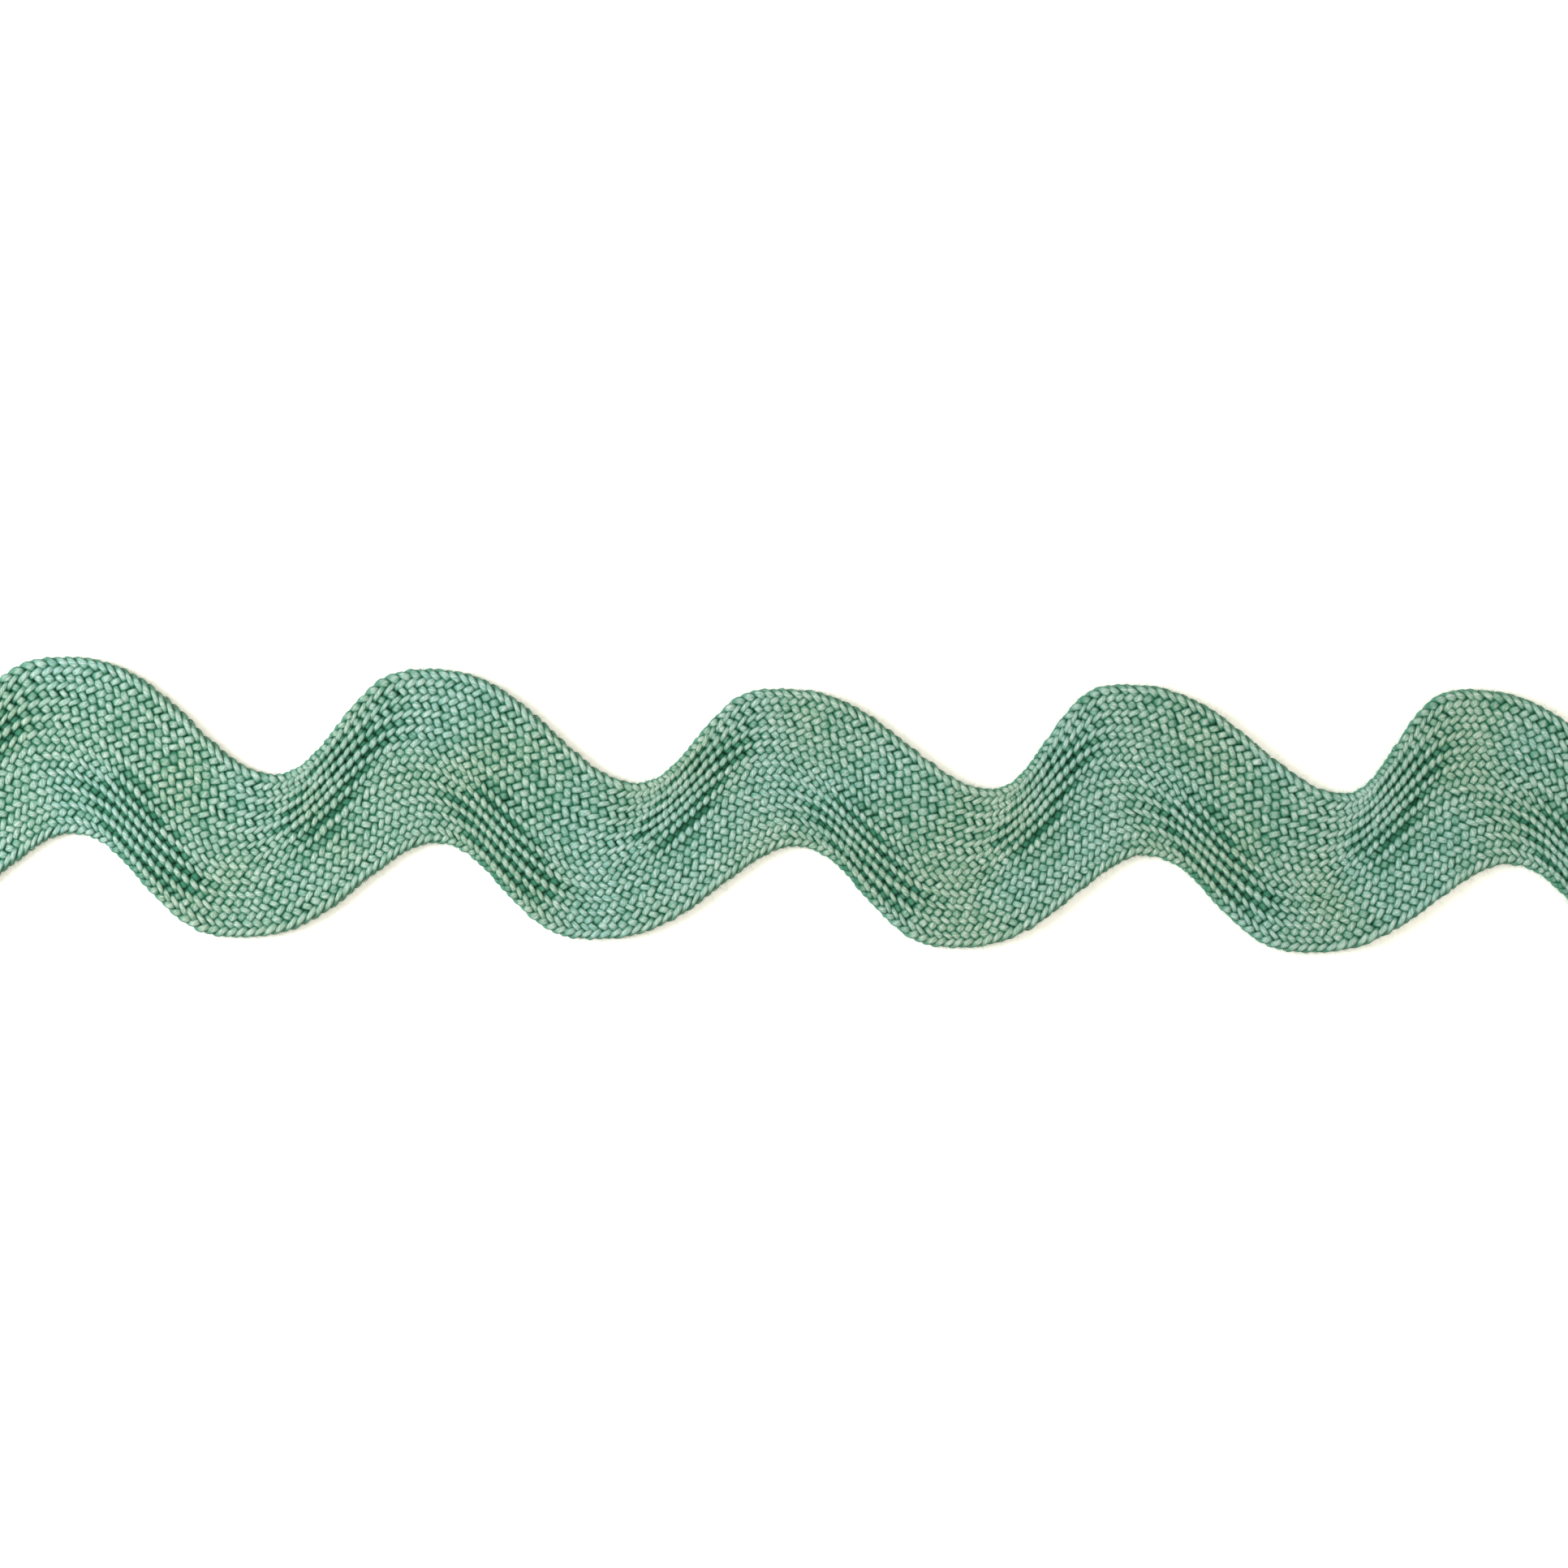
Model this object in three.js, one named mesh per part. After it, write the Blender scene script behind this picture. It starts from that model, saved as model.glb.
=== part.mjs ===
// A cut length of ric rac, the flat wavy braid that is sewn on as a trimming.
// It lies flat on a surface: X runs along the braid, Y across it and Z up, in millimetres,
// and the origin is under the middle of the braid.
// The braid is one solid. Its two edges are separate wavy curves, its underside is flat,
// and its top face carries the cords that bunch up on every slope of the wave.

import * as THREE from 'three';

// Length of the piece, cut straight across at both ends.
const CUT_LENGTH = 250;

// The braid is worked in rows, and half a wave takes 22.5 of them.
const ROWS_PER_TURN = 22.5;
// Columns of stitches that lie side by side across the braid.
const COLUMNS = 22;

// Heights over the surface: the cloth, its edge, and the cords and grooves on it.
const CLOTH_THICKNESS = 1.75;
const EDGE_HEIGHT = 0.85;
const SHOULDER_HEIGHT = 1.5;
const CORD_RISE = 0.3;
const GROOVE_DEPTH = 0.45;
// Where the rounded edge meets the top face and the underside, as a share of the width.
const SHOULDER_SHARE = 0.012;
const FOOT_SHARE = 0.02;

// The turns of the wave from left to right, a crest first and then a valley by turns,
// as uneven as the braid lies. Upper is the edge at +Y and lower the edge at -Y.
const TURNS = [
  { upperX: -145.0, upperY: 18.1, lowerX: -145.5, lowerY: -5.0 },
  { upperX: -120.5, upperY: 3.4, lowerX: -121.5, lowerY: -18.2 },
  { upperX: -96.6, upperY: 18.6, lowerX: -96.6, lowerY: -5.1 },
  { upperX: -69.5, upperY: 3.4, lowerX: -73.2, lowerY: -18.6 },
  { upperX: -47.7, upperY: 18.0, lowerX: -47.4, lowerY: -5.3 },
  { upperX: -20.4, upperY: 3.3, lowerX: -25.3, lowerY: -17.8 },
  { upperX: 0.0, upperY: 16.4, lowerX: 1.3, lowerY: -4.7 },
  { upperX: 27.6, upperY: 3.5, lowerX: 23.8, lowerY: -17.9 },
  { upperX: 46.5, upperY: 18.0, lowerX: 48.6, lowerY: -4.9 },
  { upperX: 75.4, upperY: 3.9, lowerX: 71.5, lowerY: -17.5 },
  { upperX: 93.0, upperY: 18.3, lowerX: 97.9, lowerY: -5.0 },
  { upperX: 122.5, upperY: 3.6, lowerX: 120.5, lowerY: -17.9 },
  { upperX: 142.0, upperY: 18.1, lowerX: 146.0, lowerY: -5.0 },
];

// How an edge eases out of one turn and into the next: 1 and 1 is an even wave, and
// a higher number keeps the curve longer at that turn. The drift draws the rows of the
// edge towards the next turn if it is positive, and back to the last one if negative.
const EDGE_RUNS = {
  upper: {
    fall: { out: 1.15, into: 0.95, drift: -0.04 },
    rise: { out: 1.33, into: 1.75, drift: -0.35 },
  },
  lower: {
    fall: { out: 1.25, into: 1.5, drift: -0.12 },
    rise: { out: 1.15, into: 0.88, drift: 0.15 },
  },
};
// How much closer the rows lie at the turns.
const ROW_CROWDING = 0.05;

// Percent of the width that each pair of columns takes halfway along a slope, counted
// from the edge on the hollow side of the last turn, where the cords bunch up.
const PAIR_WIDTHS = [7.5, 7.7, 6.6, 6.7, 6.8, 8.2, 11.2, 11.7, 12.1, 10.4, 11.1];
// How much stronger the bunching is soon after a turn than before the next one.
const BUNCHING_LEAD = 0.4;
// The columns that are raised as cords, counted from the same edge, and their run-out.
const CORD_COLUMNS = 11;
const CORD_RUN_OUT = 2;
// The first column lies against the edge and stays level.
const EDGE_COLUMNS = 1;

// Steps of the mesh: points on an edge between two turns, rows from section to section,
// and points on the underside of a section.
const EDGE_POINTS_PER_TURN = 60;
const ROWS_PER_SECTION = 1.5;
const UNDERSIDE_POINTS = 4;
// How closely the rows of the two cuts are found.
const ROW_PRECISION = 0.0005;

const BRAID_COLOUR = 0x7fae96;

/** One edge as a curve that can be asked for the place of any row. */
class BraidEdge {
  constructor(side) {
    const turns = TURNS.map((turn) => ({ x: turn[`${side}X`], y: turn[`${side}Y`] }));
    this.points = [];
    this.drifts = [];
    for (let i = 0; i < turns.length - 1; i += 1) {
      const start = turns[i];
      const end = turns[i + 1];
      const run = end.y < start.y ? EDGE_RUNS[side].fall : EDGE_RUNS[side].rise;
      this.drifts.push(run.drift);
      for (let step = 0; step < EDGE_POINTS_PER_TURN; step += 1) {
        const along = step / EDGE_POINTS_PER_TURN;
        const eased = 1 - (1 - along ** run.out) ** run.into;
        const swing = (1 - Math.cos(Math.PI * eased)) / 2;
        this.points.push({
          x: THREE.MathUtils.lerp(start.x, end.x, along),
          y: THREE.MathUtils.lerp(start.y, end.y, swing),
        });
      }
    }
    this.points.push(turns[turns.length - 1]);
    this.lengths = this.measure();
    this.turnLengths = turns.map((_, i) => this.lengths[i * EDGE_POINTS_PER_TURN]);
  }

  /** Length along the edge at each of its points. */
  measure() {
    const lengths = [0];
    for (let i = 1; i < this.points.length; i += 1) {
      const here = this.points[i];
      const last = this.points[i - 1];
      lengths.push(lengths[i - 1] + Math.hypot(here.x - last.x, here.y - last.y));
    }
    return lengths;
  }

  /** Share of the length between two turns that lies before a part of its rows. */
  shareOfLength(turn, part) {
    const swing = 2 * Math.PI * part;
    const drift = this.drifts[turn] * (1 - Math.cos(swing));
    return part + (drift - ROW_CROWDING * Math.sin(swing)) / (2 * Math.PI);
  }

  /** Place on the edge that a row reaches. */
  atRow(row) {
    const turn = THREE.MathUtils.clamp(Math.floor(row / ROWS_PER_TURN), 0, TURNS.length - 2);
    const part = this.shareOfLength(turn, row / ROWS_PER_TURN - turn);
    const length = THREE.MathUtils.lerp(this.turnLengths[turn], this.turnLengths[turn + 1], part);
    let i = turn * EDGE_POINTS_PER_TURN + 1;
    while (i < this.points.length - 1 && this.lengths[i] < length) {
      i += 1;
    }
    const start = this.points[i - 1];
    const end = this.points[i];
    const share = (length - this.lengths[i - 1]) / (this.lengths[i] - this.lengths[i - 1]);
    return {
      x: THREE.MathUtils.lerp(start.x, end.x, share),
      y: THREE.MathUtils.lerp(start.y, end.y, share),
    };
  }
}

const upperEdge = new BraidEdge('upper');
const lowerEdge = new BraidEdge('lower');

/** A slope of the wave: whether it falls, and how far its columns are bunched there. */
function slopeAt(row) {
  const turn = Math.floor(row / ROWS_PER_TURN);
  const part = row / ROWS_PER_TURN - turn;
  const lead = 1 + BUNCHING_LEAD * Math.cos(Math.PI * part);
  return { falls: turn % 2 === 0, bunching: Math.sin(Math.PI * part) * lead };
}

/** Share of the width from the bunched edge to a column on a fully bunched slope. */
function bunchedShare(column) {
  const pair = Math.min(Math.floor(column / 2), PAIR_WIDTHS.length - 1);
  const before = PAIR_WIDTHS.slice(0, pair).reduce((sum, width) => sum + width, 0);
  return (before + PAIR_WIDTHS[pair] * (column / 2 - pair)) / 100;
}

/** Share of the width from the lower edge to a column in a row. */
function shareAt(row, column) {
  const slope = slopeAt(row);
  const even = column / COLUMNS;
  const bunched = slope.falls ? bunchedShare(column) : 1 - bunchedShare(COLUMNS - column);
  return THREE.MathUtils.lerp(even, bunched, slope.bunching);
}

/** Height of the top face in the middle of a column: a cord, a groove or level cloth. */
function topHeight(row, columnIndex) {
  const slope = slopeAt(row);
  const fromBunchedEdge = slope.falls ? columnIndex : COLUMNS - 1 - columnIndex;
  if (fromBunchedEdge < EDGE_COLUMNS) {
    return CLOTH_THICKNESS;
  }
  const runOut = (CORD_COLUMNS + CORD_RUN_OUT - fromBunchedEdge) / CORD_RUN_OUT;
  const relief = slope.bunching * THREE.MathUtils.clamp(runOut, 0, 1);
  const isCord = fromBunchedEdge % 2 === 1;
  return CLOTH_THICKNESS + relief * (isCord ? CORD_RISE : -GROOVE_DEPTH);
}

/** Outline of one section as shares of the width and heights, over the top and back under. */
function sectionOutline(row) {
  const outline = [
    { share: 0, z: EDGE_HEIGHT },
    { share: SHOULDER_SHARE, z: SHOULDER_HEIGHT },
  ];
  for (let i = 0; i < COLUMNS; i += 1) {
    outline.push({ share: shareAt(row, i + 0.5), z: topHeight(row, i) });
  }
  outline.push({ share: 1 - SHOULDER_SHARE, z: SHOULDER_HEIGHT });
  outline.push({ share: 1, z: EDGE_HEIGHT });
  for (let i = 0; i < UNDERSIDE_POINTS; i += 1) {
    const share = THREE.MathUtils.lerp(1 - FOOT_SHARE, FOOT_SHARE, i / (UNDERSIDE_POINTS - 1));
    outline.push({ share, z: 0 });
  }
  return outline;
}

/** Row whose cut from edge to edge has its outermost corner at a place along X. */
function rowOfCut(x, outermost) {
  let low = 0;
  let high = ROWS_PER_TURN * (TURNS.length - 1);
  while (high - low > ROW_PRECISION) {
    const row = (low + high) / 2;
    if (outermost(upperEdge.atRow(row).x, lowerEdge.atRow(row).x) < x) {
      low = row;
    } else {
      high = row;
    }
  }
  return (low + high) / 2;
}

/** The closed braid: its sections joined by bands of triangles, with a flat cut at each end. */
function makeBraid() {
  const firstRow = rowOfCut(-CUT_LENGTH / 2, Math.min);
  const lastRow = rowOfCut(CUT_LENGTH / 2, Math.max);
  const sections = Math.round((lastRow - firstRow) / ROWS_PER_SECTION);
  const positions = [];
  const triangles = [];
  const ring = sectionOutline(firstRow).length;

  for (let i = 0; i <= sections; i += 1) {
    const row = THREE.MathUtils.lerp(firstRow, lastRow, i / sections);
    const upper = upperEdge.atRow(row);
    const lower = lowerEdge.atRow(row);
    for (const point of sectionOutline(row)) {
      const x = THREE.MathUtils.lerp(lower.x, upper.x, point.share);
      const y = THREE.MathUtils.lerp(lower.y, upper.y, point.share);
      positions.push(x, y, point.z);
    }
  }

  for (let i = 0; i < sections; i += 1) {
    for (let j = 0; j < ring; j += 1) {
      const here = i * ring + j;
      const beside = i * ring + ((j + 1) % ring);
      triangles.push(here, here + ring, beside + ring);
      triangles.push(here, beside + ring, beside);
    }
  }

  addEnd(triangles, sectionOutline(firstRow), 0, true);
  addEnd(triangles, sectionOutline(lastRow), sections * ring, false);

  const geometry = new THREE.BufferGeometry();
  geometry.setAttribute('position', new THREE.Float32BufferAttribute(positions, 3));
  geometry.setIndex(triangles);
  geometry.computeVertexNormals();
  return geometry;
}

/** Closes one cut end with the triangles of its outline. */
function addEnd(triangles, outline, firstPoint, atStart) {
  const flat = outline.map((point) => new THREE.Vector2(point.share * COLUMNS, point.z));
  for (const [a, b, c] of THREE.ShapeUtils.triangulateShape(flat, [])) {
    const turned = atStart ? [a, c, b] : [a, b, c];
    triangles.push(...turned.map((corner) => corner + firstPoint));
  }
}

const ricRac = new THREE.Group();
ricRac.name = 'ric_rac';

const braid = new THREE.Mesh(
  makeBraid(),
  new THREE.MeshStandardMaterial({ color: BRAID_COLOUR, roughness: 0.9, metalness: 0 }),
);
braid.name = 'braid';
ricRac.add(braid);

export default ricRac;
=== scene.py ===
"""A cut length of ric rac, the flat wavy braid, made yarn by yarn on a pale studio floor.

The braid lies along X with its face up. Its wave is given in millimetres and every mesh is in metres.
A row is one step of the braid along its length, and a column is one stitch across it, counted from
the lower edge at -Y to the upper edge at +Y. Each yarn runs from edge to edge and back, over two
yarns and under two.
"""

import logging
import math
from dataclasses import dataclass, field
from enum import Enum

import bpy
import numpy as np
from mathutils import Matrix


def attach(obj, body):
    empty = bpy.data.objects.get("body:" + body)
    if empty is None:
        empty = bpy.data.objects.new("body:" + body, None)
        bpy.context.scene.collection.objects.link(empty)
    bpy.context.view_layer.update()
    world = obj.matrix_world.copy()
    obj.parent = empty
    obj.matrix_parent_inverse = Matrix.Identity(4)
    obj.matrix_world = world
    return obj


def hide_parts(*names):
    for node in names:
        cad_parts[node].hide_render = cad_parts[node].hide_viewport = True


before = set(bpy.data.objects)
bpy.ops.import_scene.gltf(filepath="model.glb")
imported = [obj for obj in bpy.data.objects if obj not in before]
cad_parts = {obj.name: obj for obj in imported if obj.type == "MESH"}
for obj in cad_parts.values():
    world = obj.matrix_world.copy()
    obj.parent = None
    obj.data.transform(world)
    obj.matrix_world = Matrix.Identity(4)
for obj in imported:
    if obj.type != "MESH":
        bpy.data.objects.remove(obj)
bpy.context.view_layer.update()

LOG = logging.getLogger("ric_rac")
MM = 0.001
NODE = "braid"
BODY = "root"

Rgb = tuple[int, int, int]
Span = tuple[float, float]
Triple = tuple[float, float, float]


class Side(Enum):
    """The two edges of the braid."""

    UPPER = "upper"
    LOWER = "lower"


class Way(Enum):
    """The two ways in which an edge goes between its turns."""

    FALL = 0
    RISE = 1


@dataclass(frozen=True)
class Turn:
    """A crest or a valley: where it lies on the upper and on the lower edge, in millimetres."""

    upper_x: float
    upper_y: float
    lower_x: float
    lower_y: float

    def on(self, side: Side) -> Span:
        """The turn's place on one edge."""
        return (self.upper_x, self.upper_y) if side is Side.UPPER else (self.lower_x, self.lower_y)


# The turns from left to right, a crest first and then a valley by turns.
TURNS = (
    Turn(-145.0, 18.1, -145.5, -5.0),
    Turn(-120.5, 3.4, -121.5, -18.2),
    Turn(-96.6, 18.6, -96.6, -5.1),
    Turn(-69.5, 3.4, -73.2, -18.6),
    Turn(-47.7, 18.0, -47.4, -5.3),
    Turn(-20.4, 3.3, -25.3, -17.8),
    Turn(0.0, 16.4, 1.3, -4.7),
    Turn(27.6, 3.5, 23.8, -17.9),
    Turn(46.5, 18.0, 48.6, -4.9),
    Turn(75.4, 3.9, 71.5, -17.5),
    Turn(93.0, 18.3, 97.9, -5.0),
    Turn(122.5, 3.6, 120.5, -17.9),
    Turn(142.0, 18.1, 146.0, -5.0),
)


@dataclass(frozen=True)
class Run:
    """How an edge goes from one turn to the next, and how its rows are spread on the way."""

    out: float
    into: float
    drift: float


RUNS = {
    (Side.UPPER, Way.FALL): Run(out=1.15, into=0.95, drift=-0.04),
    (Side.UPPER, Way.RISE): Run(out=1.33, into=1.75, drift=-0.35),
    (Side.LOWER, Way.FALL): Run(out=1.25, into=1.5, drift=-0.12),
    (Side.LOWER, Way.RISE): Run(out=1.15, into=0.88, drift=0.15),
}


@dataclass
class BraidEdge:
    """One wavy edge of the braid, which can be asked for the place of any row."""

    side: Side
    rows_per_turn: float
    steps: int = 60
    # How much closer the rows lie at the turns.
    crowding: float = 0.05
    points: np.ndarray = field(init=False)
    lengths: np.ndarray = field(init=False)

    def __post_init__(self) -> None:
        """Works out the points of the edge and the length along it at each of them."""
        part = np.arange(self.steps) / self.steps
        stretches = []
        for number, (start, end) in enumerate(zip(TURNS[:-1], TURNS[1:])):
            run = RUNS[self.side, Way(number % 2)]
            swing = (1 - np.cos(np.pi * (1 - (1 - part**run.out) ** run.into))) / 2
            (x0, y0), (x1, y1) = start.on(self.side), end.on(self.side)
            stretches.append(np.stack([x0 + (x1 - x0) * part, y0 + (y1 - y0) * swing], -1))
        self.points = np.concatenate(stretches + [np.array([TURNS[-1].on(self.side)])]) * MM
        steps = np.hypot(*np.diff(self.points, axis=0).T)
        self.lengths = np.concatenate([[0.0], np.cumsum(steps)])

    def at_rows(self, rows: np.ndarray) -> np.ndarray:
        """Places on the edge. The rows share the length between two turns, a little closer at the
        turns by a sine, and drawn towards one turn by a cosine.

        Args:
            rows: row numbers, an array of any shape.

        Returns:
            The X and Y of each row on the edge, in metres.
        """
        turn = np.clip(np.floor(rows / self.rows_per_turn), 0, len(TURNS) - 2)
        part = rows / self.rows_per_turn - turn
        drifts = [RUNS[self.side, way].drift for way in Way]
        drift = np.where(turn % 2 == 0, drifts[Way.FALL.value], drifts[Way.RISE.value])
        swing = 2 * np.pi * part
        spread = drift * (1 - np.cos(swing)) - self.crowding * np.sin(swing)
        at = turn + part + spread / (2 * np.pi)
        length = np.interp(at, np.arange(len(TURNS)), self.lengths[:: self.steps])
        return np.stack([np.interp(length, self.lengths, self.points[:, k]) for k in (0, 1)], -1)


@dataclass
class BraidPlan:
    """The lie of the braid: where each row and column of stitches comes to lie between the edges."""

    length: float = 250.0
    columns: int = 22
    rows_per_turn: float = 22.5
    # Rows by which the middle of the braid lies behind its edges.
    lag: float = 2.8
    # Percent of the width that each pair of columns takes halfway along a slope, from the hollow side.
    pair_widths: tuple[float, ...] = (7.5, 7.7, 6.6, 6.7, 6.8, 8.2, 11.2, 11.7, 12.1, 10.4, 11.1)
    # How much stronger the bunching is soon after a turn than before the next one.
    bunching_lead: float = 0.4
    # The column in the middle of the cords, from the hollow side, on a falling and on a rising slope,
    # and the columns to either side of it that are drawn into cords where the bunching is full.
    cord_middles: Span = (6.0, 7.5)
    cord_reach: float = 8.2
    cord_run_out: float = 4.5
    # Columns that the cords' reach falls short of nothing at a turn.
    cord_shortfall: float = 1.0
    # How strong the cords get at most on a falling and on a rising slope.
    cord_strengths: Span = (0.78, 0.95)
    # Share of a pair's width that its sunk column keeps where the other one bulges as a cord.
    sunk_share: float = 0.41
    # Share of the width by which the outermost yarns' middles lie inside the outline.
    edge_inset: float = 0.008
    # Points along the edges at which the two cuts are looked for.
    search_points: int = 200001
    upper: BraidEdge = field(init=False)
    lower: BraidEdge = field(init=False)

    def __post_init__(self) -> None:
        """Makes the two edges."""
        self.upper = BraidEdge(Side.UPPER, self.rows_per_turn)
        self.lower = BraidEdge(Side.LOWER, self.rows_per_turn)

    def lag_at(self, columns: np.ndarray) -> np.ndarray:
        """Rows by which a stitch lies behind its rung: none at an edge, then a squared sine."""
        return self.lag * np.sin(np.pi * columns / self.columns) ** 2

    def rungs(self, rows: np.ndarray, columns: np.ndarray) -> np.ndarray:
        """The rungs of stitches: the edge rows whose joining lines the stitches lie on."""
        return rows - self.lag_at(columns)

    def slope(self, rungs: np.ndarray) -> tuple[np.ndarray, np.ndarray]:
        """Which slope of the wave a rung is on, and how far its columns are bunched there.

        Args:
            rungs: edge rows, an array of any shape.

        Returns:
            Whether the slope falls, and the bunching, a leaning sine: 0 at the turns and about 1 between.
        """
        turn = np.floor(rungs / self.rows_per_turn)
        part = rungs / self.rows_per_turn - turn
        bunching = np.sin(np.pi * part) * (1 + self.bunching_lead * np.cos(np.pi * part))
        return turn % 2 == 0, bunching

    def bunched_share(self, columns: np.ndarray, cord_middle: float) -> np.ndarray:
        """Share of the width up to a column on a fully bunched slope, from the hollow side.

        The pairs' widths are summed up. Within a pair of the cords, the first column is narrow and
        the second, which bulges, is wide, and less so further from the middle of the cords.

        Args:
            columns: columns from the hollow side, an array of any shape.
            cord_middle: the column in the middle of the cords.

        Returns:
            The shares, from 0 to 1.
        """
        sums = np.concatenate([[0.0], np.cumsum(self.pair_widths)]) / 100
        from_middle = np.abs(np.arange(len(self.pair_widths)) * 2 + 1 - cord_middle)
        corded = np.clip((self.cord_reach - from_middle) / self.cord_run_out, 0, 1)
        knots = np.empty(2 * len(corded) + 1)
        knots[0::2] = sums
        knots[1::2] = sums[:-1] + np.diff(sums) * (0.5 + (self.sunk_share - 0.5) * corded)
        return np.interp(columns, np.arange(len(knots)), knots)

    def shares(self, rungs: np.ndarray, columns: np.ndarray) -> np.ndarray:
        """Share of the width from the lower edge to a column, between even and bunched.

        Args:
            rungs: edge rows.
            columns: columns of the same shape.

        Returns:
            The shares, from 0 to 1.
        """
        falls, bunching = self.slope(rungs)
        even = columns / self.columns
        middle_on_fall, middle_on_rise = self.cord_middles
        on_fall = self.bunched_share(columns, middle_on_fall)
        on_rise = 1 - self.bunched_share(self.columns - columns, middle_on_rise)
        return even + (np.where(falls, on_fall, on_rise) - even) * bunching

    def place(self, rows: np.ndarray, columns: np.ndarray) -> np.ndarray:
        """Where a stitch lies: on the line between the two edges' places of its rung, at its share.

        Args:
            rows: rows along the braid.
            columns: columns across it, of the same shape.

        Returns:
            The X and Y of each stitch, in metres.
        """
        rungs = self.rungs(rows, columns)
        share = self.shares(rungs, columns)
        share = (self.edge_inset + share * (1 - 2 * self.edge_inset))[..., None]
        return self.lower.at_rows(rungs) * (1 - share) + self.upper.at_rows(rungs) * share

    def cording(self, rungs: np.ndarray, columns: np.ndarray) -> tuple[np.ndarray, np.ndarray]:
        """How strongly the stitches are drawn into cords: fully about a column on the hollow side of
        a slope, over a reach that shrinks towards the turns, and running out beyond it.

        Args:
            rungs: edge rows.
            columns: columns of the same shape.

        Returns:
            Whether the slope falls, and the strength from 0 to 1.
        """
        falls, bunching = self.slope(rungs)
        from_hollow = np.where(falls, columns, self.columns - columns)
        middle = np.where(falls, *self.cord_middles)
        reach = (self.cord_reach + self.cord_shortfall) * bunching - self.cord_shortfall
        strength = np.clip((reach - np.abs(from_hollow - middle)) / self.cord_run_out, 0, 1)
        return falls, np.where(falls, *self.cord_strengths) * strength**2 * (3 - 2 * strength)

    def cut_rows(self) -> Span:
        """The rows of the two cuts, whose outermost corners lie half the length from the middle.

        Returns:
            The edge row of the cut at -X and that of the cut at +X.
        """
        rows = np.linspace(0, self.rows_per_turn * (len(TURNS) - 1), self.search_points)
        ends = np.stack([self.upper.at_rows(rows)[:, 0], self.lower.at_rows(rows)[:, 0]])
        half = self.length * MM / 2
        first = np.interp(-half, ends.min(axis=0), rows)
        last = np.interp(half, ends.max(axis=0), rows)
        return float(first), float(last)


class Graph:
    """A short way to write a material's node tree."""

    def __init__(self, name: str) -> None:
        """Starts an empty material with its output and its main shader.

        Args:
            name: the material's name.
        """
        self.material = bpy.data.materials.new(name)
        self.material.use_nodes = True
        self.tree = self.material.node_tree
        self.tree.nodes.clear()
        output = self.tree.nodes.new("ShaderNodeOutputMaterial")
        self.shader = self.tree.nodes.new("ShaderNodeBsdfPrincipled")
        self.feed(output, {"Surface": self.shader.outputs["BSDF"]})

    def feed(self, node: bpy.types.Node, inputs: dict) -> None:
        """Fills some of a node's sockets.

        Args:
            node: the node.
            inputs: what goes into its sockets, by name or number: a value or another node's output.
        """
        for key, value in inputs.items():
            if isinstance(value, bpy.types.NodeSocket):
                self.tree.links.new(value, node.inputs[key])
            else:
                node.inputs[key].default_value = value

    def node(self, kind: str, inputs: dict | None = None, **settings: object) -> bpy.types.Node:
        """Adds a node.

        Args:
            kind: the node's type without its leading ShaderNode.
            inputs: what goes into its sockets, by name or number: a value or another node's output.
            settings: the node's own properties.

        Returns:
            The new node.
        """
        made = self.tree.nodes.new("ShaderNode" + kind)
        for key, value in settings.items():
            setattr(made, key, value)
        self.feed(made, inputs or {})
        return made

    def attribute(self, name: str) -> bpy.types.Node:
        """A node that reads one of the mesh's own attributes."""
        return self.node("Attribute", attribute_name=name)

    def mix(self, factor: object, first: object, second: object) -> bpy.types.NodeSocket:
        """A colour between two colours.

        Args:
            factor: how far it lies from the first to the second, 0 to 1.
            first: the colour at 0.
            second: the colour at 1.

        Returns:
            The colour.
        """
        inputs = {0: factor, 6: first, 7: second}
        made = self.node("Mix", inputs, data_type="RGBA", blend_type="MIX", clamp_factor=True)
        return made.outputs[2]

    def spread(self, value: object, source: Span, target: Span = (0.0, 1.0)) -> bpy.types.NodeSocket:
        """A value moved from one range to another, and held within it.

        Args:
            value: the value.
            source: the range that it comes from.
            target: the range that it goes to.

        Returns:
            The moved value.
        """
        low, high = source
        to_low, to_high = target
        inputs = {"Value": value, "From Min": low, "From Max": high, "To Min": to_low, "To Max": to_high}
        return self.node("MapRange", inputs, clamp=True).outputs["Result"]

    def noise(self, vector: object, scale: float, detail: float = 2.0) -> bpy.types.NodeSocket:
        """Soft noise from 0 to 1 at a place."""
        inputs = {"Vector": vector, "Scale": scale, "Detail": detail}
        return self.node("TexNoise", inputs, noise_dimensions="3D").outputs["Fac"]


def colour(red: int, green: int, blue: int) -> tuple[float, float, float, float]:
    """A colour given as it looks on a screen, turned into the light values of a shader.

    Args:
        red: its red part, from 0 to 255.
        green: its green part.
        blue: its blue part.

    Returns:
        The light values from 0 to 1, and 1 for opaque.
    """
    parts = [value / 255 for value in (red, green, blue)]
    lights = [x / 12.92 if x <= 0.04045 else ((x + 0.055) / 1.055) ** 2.4 for x in parts]
    return (*lights, 1.0)


def mottled(name: str, colours: tuple[Rgb, Rgb], scale: float, shader: dict) -> bpy.types.Material:
    """A material that drifts between two colours from place to place.

    Args:
        name: the material's name.
        colours: the two colours.
        scale: how fine the mottling is.
        shader: values for the main shader's other inputs.

    Returns:
        The material.
    """
    g = Graph(name)
    mottle = g.noise(g.node("TexCoord").outputs["Object"], scale)
    first, second = (colour(*parts) for parts in colours)
    g.feed(g.shader, {"Base Color": g.mix(mottle, first, second), **shader})
    return g.material


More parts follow.
